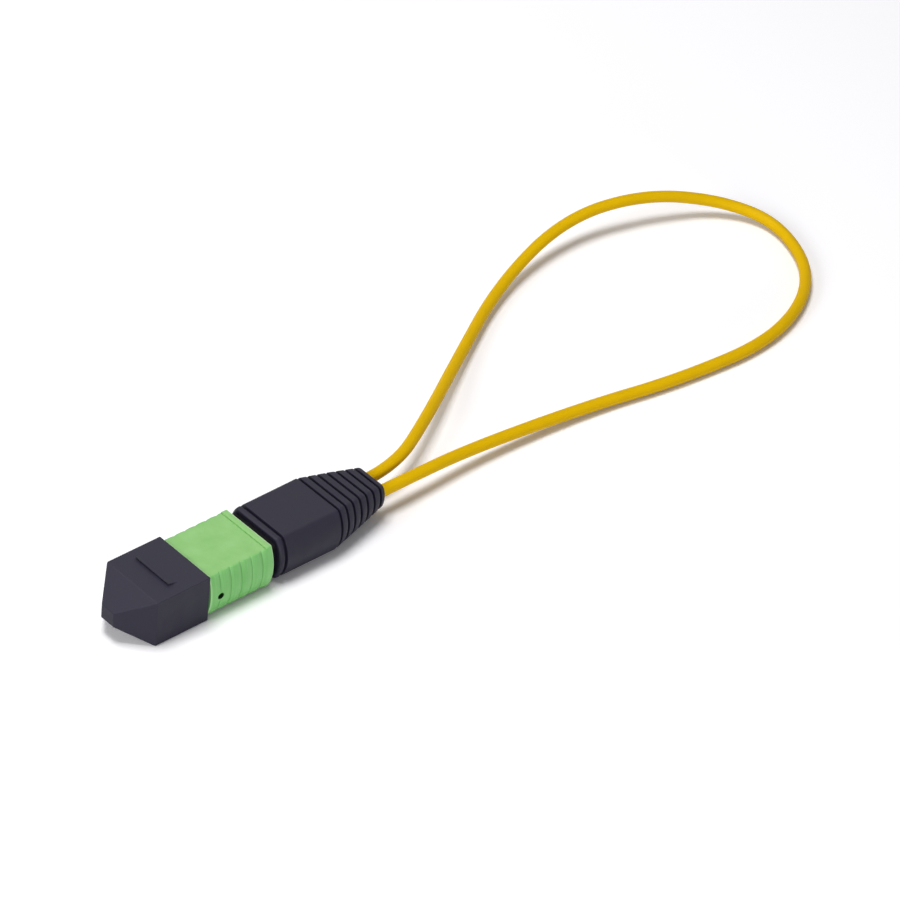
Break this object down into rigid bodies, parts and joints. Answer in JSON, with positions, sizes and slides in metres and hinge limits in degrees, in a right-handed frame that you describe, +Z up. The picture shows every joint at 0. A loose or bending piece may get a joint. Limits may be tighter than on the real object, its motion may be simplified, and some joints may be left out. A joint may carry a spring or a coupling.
{
  "type": "fibre loopback plug",
  "caption": "Push-on multi-fibre loopback plug with a dust cap, a ribbed green coupling sleeve, a grooved black boot and a yellow cable that loops back into the boot.",
  "frame": {"origin": "middle of the plug's length from the nose of the dust cap to the end of the boot, on the surface that the plug lies on", "axes": "+X along the plug from its nose towards the cable, +Y to its right, +Z up on the side with the key"},
  "size_m": [0.1587, 0.0424, 0.0088],
  "materials": {
    "charcoal_moulding": "satin",
    "green_moulding": "satin",
    "housing_moulding": "satin",
    "ferrule_resin": "matte",
    "fibre_glass": "polished",
    "adhesive": "gloss",
    "soft_rubber": "matte",
    "keeper_steel": "brushed",
    "spring_steel": "drawn",
    "crimp_brass": "satin",
    "aramid_yarn": "fibrous",
    "fibre_coating": "gloss",
    "boot_moulding": "satin",
    "yellow_jacket": "satin"
  },
  "bodies": {
    "plug": {"inner_housing": "housing_moulding", "spring_push": "housing_moulding", "crimp_ring": "crimp_brass", "boot": "boot_moulding", "cable_loop": "yellow_jacket", "aramid_left": "aramid_yarn", "aramid_right": "aramid_yarn", "coated_fibres_left": "fibre_coating", "coated_fibres_right": "fibre_coating", "ferrule_spring": "spring_steel", "coupling_spring_left": "spring_steel", "coupling_spring_right": "spring_steel"},
    "cap": {"dust_cap": "charcoal_moulding"},
    "sleeve": {"coupling_sleeve": "green_moulding"},
    "ferrule_group": {"ferrule": "ferrule_resin", "glass_fibres": "fibre_glass", "adhesive_plug": "adhesive", "ferrule_boot": "soft_rubber", "pin_keeper": "keeper_steel"}
  },
  "joints": [
    {"name": "cap_pull", "type": "slide", "parent": "plug", "child": "cap", "axis": [-1, 0, 0], "range_m": [0, 0.02]},
    {"name": "sleeve_slide", "type": "slide", "parent": "plug", "child": "sleeve", "axis": [1, 0, 0], "range_m": [0, 0.0011], "stiffness_N_per_m": 300, "springref_m": -0.002, "deforming": ["coupling_spring_left", "coupling_spring_right"]},
    {"name": "ferrule_float", "type": "slide", "parent": "plug", "child": "ferrule_group", "axis": [1, 0, 0], "range_m": [0, 0.001], "stiffness_N_per_m": 500, "springref_m": -0.003, "deforming": ["ferrule_spring", "coated_fibres_left", "coated_fibres_right"]}
  ]
}
